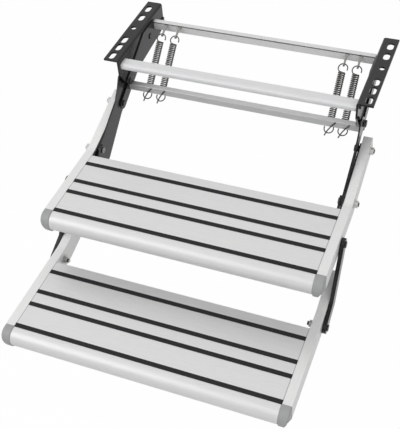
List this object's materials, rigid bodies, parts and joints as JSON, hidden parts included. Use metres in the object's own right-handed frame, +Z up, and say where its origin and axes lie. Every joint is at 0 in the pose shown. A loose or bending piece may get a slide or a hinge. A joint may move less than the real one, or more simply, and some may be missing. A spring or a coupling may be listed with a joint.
{
  "type": "caravan entry step",
  "caption": "Folding double entry step: grooved aluminium treads with anti-slip strips on parallel links and springs under slotted fixing brackets.",
  "frame": {"origin": "midway between the two small round flange holes, on the flanges' top face", "axes": "+Z up, X across the step, -Y to the front where the user steps on"},
  "size_m": [0.5876, 0.7707, 0.2997],
  "materials": {
    "powder_coat": "satin powder coat",
    "anodised": "matt anodised",
    "rail": "matt anodised",
    "strip": "ribbed",
    "cap": "moulded grey",
    "zinc": "zinc plated",
    "spring_steel": "dark drawn wire",
    "dark_steel": "black oxide"
  },
  "bodies": {
    "frame": {"bracket_left": "powder_coat", "bracket_right": "powder_coat", "rear_crossbar": "anodised", "front_crossbar": "anodised", "spring_straps": "zinc", "crossbar_screws": "dark_steel", "rear_pivot_bolts": "dark_steel", "rear_pivot_nuts": "dark_steel", "front_pivot_bolts": "dark_steel", "front_pivot_nuts": "dark_steel", "front_pivot_sleeves": "dark_steel"},
    "rear_links": {"upper_rear_link_left": "powder_coat", "upper_rear_link_right": "powder_coat", "spring_bar": "anodised", "spring_bar_screws": "dark_steel"},
    "front_links": {"upper_front_link_left": "powder_coat", "upper_front_link_right": "powder_coat"},
    "springs": {"spring_1": "spring_steel", "spring_2": "spring_steel", "spring_3": "spring_steel", "spring_4": "spring_steel"},
    "upper_step": {"upper_tread": "anodised", "upper_strip_1": "strip", "upper_strip_2": "strip", "upper_strip_3": "strip", "upper_strip_4": "strip", "upper_rail_left": "rail", "upper_rail_right": "rail", "upper_cap_left": "cap", "upper_cap_right": "cap", "upper_arm_plate_left": "powder_coat", "upper_arm_plate_right": "powder_coat", "upper_arm_bolts": "dark_steel", "upper_arm_nuts": "zinc", "upper_arm_sleeves": "dark_steel", "upper_knee_bolts": "dark_steel", "upper_knee_nuts": "zinc", "outer_link_bolts": "dark_steel", "outer_link_nuts": "zinc", "outer_link_sleeves": "zinc"},
    "lower_front_links": {"lower_outer_link_left": "powder_coat", "lower_outer_link_right": "powder_coat"},
    "lower_rear_links": {"lower_rear_link_left": "powder_coat", "lower_rear_link_right": "powder_coat"},
    "lower_step": {"lower_tread": "anodised", "lower_strip_1": "strip", "lower_strip_2": "strip", "lower_strip_3": "strip", "lower_strip_4": "strip", "lower_rail_left": "rail", "lower_rail_right": "rail", "lower_cap_left": "cap", "lower_cap_right": "cap", "lower_arm_bolts": "dark_steel", "lower_arm_nuts": "zinc", "lower_arm_sleeves": "dark_steel", "lower_knee_bolts": "dark_steel", "lower_knee_nuts": "zinc", "lower_knee_sleeves": "zinc"}
  },
  "joints": [
    {"name": "upper_fold", "type": "hinge", "parent": "frame", "child": "rear_links", "pos_m": [0, 0.0292, -0.0358], "axis": [1, 0, 0], "range_deg": [0, 115]},
    {"name": "front_link_pivot", "type": "hinge", "parent": "frame", "child": "front_links", "pos_m": [0, -0.088, -0.0729], "axis": [1, 0, 0], "range_deg": [0, 115]},
    {"name": "upper_step_pivot", "type": "hinge", "parent": "rear_links", "child": "upper_step", "pos_m": [0, -0.1192, -0.1127], "axis": [1, 0, 0], "range_deg": [-115, 0]},
    {"name": "spring_pivot", "type": "hinge", "parent": "frame", "child": "springs", "pos_m": [0, 0.0284, -0.0243], "axis": [1, 0, 0], "range_deg": [0, 108], "deforming": ["spring_1", "spring_2", "spring_3", "spring_4"]},
    {"name": "lower_fold", "type": "hinge", "parent": "upper_step", "child": "lower_front_links", "pos_m": [0, -0.3326, -0.1631], "axis": [1, 0, 0], "range_deg": [0, 108]},
    {"name": "lower_rear_pivot", "type": "hinge", "parent": "upper_step", "child": "lower_rear_links", "pos_m": [0, -0.2364, -0.1498], "axis": [1, 0, 0], "range_deg": [0, 108]},
    {"name": "lower_step_pivot", "type": "hinge", "parent": "lower_front_links", "child": "lower_step", "pos_m": [0, -0.4407, -0.2808], "axis": [1, 0, 0], "range_deg": [-108, 0]}
  ],
  "couplings": [
    {"joint": "front_link_pivot", "follows": "upper_fold", "ratio": 1},
    {"joint": "upper_step_pivot", "follows": "upper_fold", "ratio": -1},
    {"joint": "spring_pivot", "follows": "upper_fold", "ratio": 0.935},
    {"joint": "lower_rear_pivot", "follows": "lower_fold", "ratio": 1},
    {"joint": "lower_step_pivot", "follows": "lower_fold", "ratio": -1}
  ]
}
